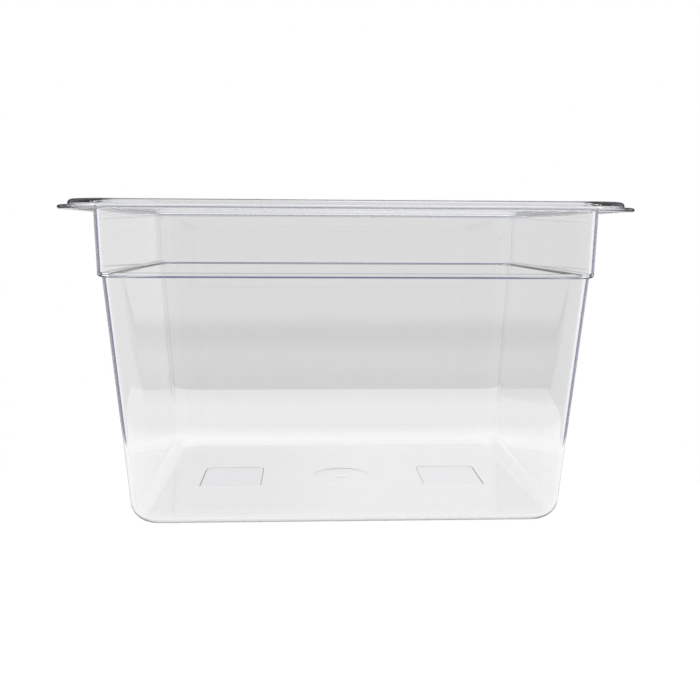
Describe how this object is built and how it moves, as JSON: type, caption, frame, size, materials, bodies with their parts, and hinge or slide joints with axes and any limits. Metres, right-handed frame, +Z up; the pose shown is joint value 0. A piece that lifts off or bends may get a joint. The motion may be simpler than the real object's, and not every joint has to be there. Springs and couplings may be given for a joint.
{
  "type": "food pan",
  "caption": "Clear open-topped rectangular food pan with a flanged rim, stacking shoulder, tapered walls and a flat floor, for holding and showing chilled food.",
  "frame": {"origin": "centre of the flat underside of the base, on the plane the pan stands on", "axes": "+X along the long side, +Y to the back, +Z up"},
  "size_m": [0.325, 0.265, 0.192],
  "materials": {
    "clear_polycarbonate": "clear glossy moulding, faint violet-blue in its edges",
    "frosted_polycarbonate": "fine spark-eroded frosted panel, blank"
  },
  "bodies": {
    "root": {"rim_lip": "clear_polycarbonate", "rim_flange": "clear_polycarbonate", "collar": "clear_polycarbonate", "stacking_shoulder": "clear_polycarbonate", "wall_front": "clear_polycarbonate", "wall_back": "clear_polycarbonate", "wall_left": "clear_polycarbonate", "wall_right": "clear_polycarbonate", "corner_front_left": "clear_polycarbonate", "corner_front_right": "clear_polycarbonate", "corner_back_left": "clear_polycarbonate", "corner_back_right": "clear_polycarbonate", "base_bend": "clear_polycarbonate", "floor": "clear_polycarbonate", "gate_mark": "clear_polycarbonate", "label_panel_left": "frosted_polycarbonate", "label_panel_right": "frosted_polycarbonate"}
  },
  "joints": []
}
